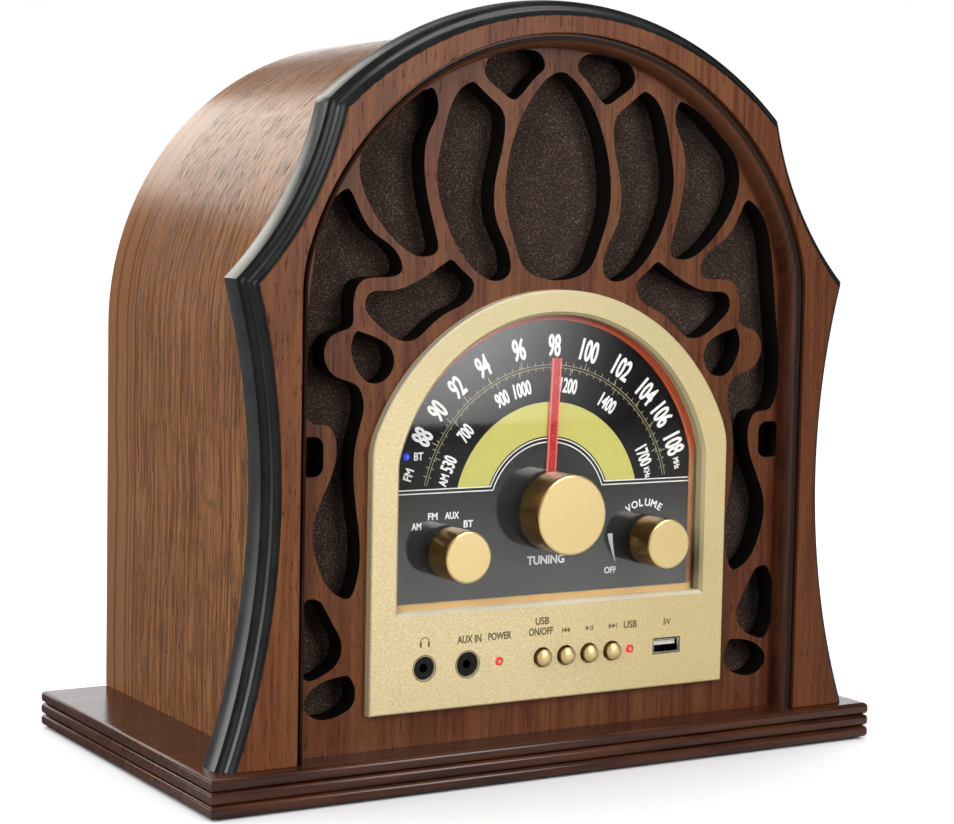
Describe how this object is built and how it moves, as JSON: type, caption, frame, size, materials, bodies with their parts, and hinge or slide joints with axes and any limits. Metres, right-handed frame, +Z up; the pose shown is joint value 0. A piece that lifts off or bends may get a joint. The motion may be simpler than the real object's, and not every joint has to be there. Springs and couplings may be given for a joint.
{
  "type": "cathedral radio",
  "caption": "Tabletop radio in a round-topped wooden cabinet: fret-cut front over dark cloth, arched gold dial plate, knobs, buttons, sockets and a reeded base.",
  "frame": {"origin": "middle of the footprint, on the surface the radio stands on", "axes": "+Z up, front faces -Y, +X to the right seen from the front"},
  "size_m": [0.315, 0.18, 0.3125],
  "materials": {
    "base_wood": "satin lacquer, dark brown",
    "veneer": "semi-gloss lacquer, fine dark pores",
    "facia_wood": "semi-gloss lacquer, reddish brown",
    "bead_wood": "semi-gloss lacquer, chocolate",
    "plain_wood": "bare",
    "fibreboard": "smooth hardboard",
    "moulding_black": "semi-gloss black",
    "feet_rubber": "matt",
    "tweed": "woven, brown and gold flecks",
    "gold_plate": "fine sparkling grain",
    "gold_metal": "satin, gold anodised",
    "copper_trim": "metallic copper paint",
    "lens": "clear, glossy",
    "dial_print": "printed scale, black and grey",
    "pointer_red": "translucent red",
    "red_led": "diffused red",
    "blue_led": "diffused blue",
    "jack_black": "black",
    "inlet_black": "black",
    "bright_steel": "bright plated",
    "tongue_black": "black",
    "plated_steel": "zinc plated",
    "screw_steel": "yellow zinc",
    "circuit_board": "green solder mask",
    "switch_plastic": "black",
    "laminations": "varnished steel laminations",
    "ferrite": "matt dark grey",
    "coil_copper": "enamelled copper wire",
    "basket_steel": "black",
    "surround_rubber": "matt",
    "cone_paper": "pressed paper",
    "magnet_ferrite": "matt"
  },
  "bodies": {
    "case": {"base_plinth": "base_wood", "rubber_feet": "feet_rubber", "glue_blocks": "plain_wood", "base_screws": "screw_steel", "cabinet_shell": "veneer", "front_frame": "facia_wood", "edge_moulding": "moulding_black", "arch_bead": "bead_wood", "fretwork_panel": "facia_wood", "grille_cloth": "tweed", "speaker_baffle": "plain_wood", "speaker_dust_caps": "cone_paper", "speaker_screws": "screw_steel", "escutcheon": "gold_plate", "escutcheon_screws": "screw_steel", "dial_trim": "copper_trim", "dial_lens": "lens", "dial_plate": "dial_print", "dial_chassis": "plated_steel", "chassis_screws": "screw_steel", "shaft_nuts": "screw_steel", "tuning_capacitor": "plated_steel", "selector_switch": "plated_steel", "volume_control": "plated_steel", "control_board": "circuit_board", "tact_switches": "switch_plastic", "headphone_jack": "jack_black", "aux_jack": "jack_black", "red_indicator_leds": "red_led", "bluetooth_led": "blue_led", "usb_shell": "bright_steel", "usb_tongue": "tongue_black", "main_board": "circuit_board", "mains_transformer": "laminations", "ferrite_rod": "ferrite", "ferrite_coil": "coil_copper", "ferrite_stands": "switch_plastic", "rear_panel": "fibreboard", "rear_panel_screws": "screw_steel", "power_inlet": "inlet_black", "speaker_basket_left": "basket_steel", "speaker_surround_left": "surround_rubber", "speaker_cone_left": "cone_paper", "speaker_magnet_left": "magnet_ferrite", "speaker_basket_right": "basket_steel", "speaker_surround_right": "surround_rubber", "speaker_cone_right": "cone_paper", "speaker_magnet_right": "magnet_ferrite"},
    "tuning": {"tuning_knob": "gold_metal", "tuning_shaft": "plated_steel", "tuning_pointer": "pointer_red"},
    "selector": {"selector_knob": "gold_metal", "selector_shaft": "plated_steel"},
    "volume": {"volume_knob": "gold_metal", "volume_shaft": "plated_steel"},
    "usb_power_button": {"button_usb_power": "gold_metal"},
    "previous_button": {"button_previous": "gold_metal"},
    "play_button": {"button_play": "gold_metal"},
    "next_button": {"button_next": "gold_metal"}
  },
  "joints": [
    {"name": "tuning_turn", "type": "hinge", "parent": "case", "child": "tuning", "pos_m": [0, -0.08, 0.1068], "axis": [0, 1, 0], "range_deg": [-82, 78]},
    {"name": "selector_turn", "type": "hinge", "parent": "case", "child": "selector", "pos_m": [-0.0481, -0.08, 0.0925], "axis": [0, 1, 0], "range_deg": [-30, 60]},
    {"name": "volume_turn", "type": "hinge", "parent": "case", "child": "volume", "pos_m": [0.0481, -0.08, 0.0925], "axis": [0, 1, 0], "range_deg": [-150, 150]},
    {"name": "usb_power_press", "type": "slide", "parent": "case", "child": "usb_power_button", "axis": [0, 1, 0], "range_m": [0, 0.0013], "stiffness_N_per_m": 600},
    {"name": "previous_press", "type": "slide", "parent": "case", "child": "previous_button", "axis": [0, 1, 0], "range_m": [0, 0.0013], "stiffness_N_per_m": 600},
    {"name": "play_press", "type": "slide", "parent": "case", "child": "play_button", "axis": [0, 1, 0], "range_m": [0, 0.0013], "stiffness_N_per_m": 600},
    {"name": "next_press", "type": "slide", "parent": "case", "child": "next_button", "axis": [0, 1, 0], "range_m": [0, 0.0013], "stiffness_N_per_m": 600}
  ]
}
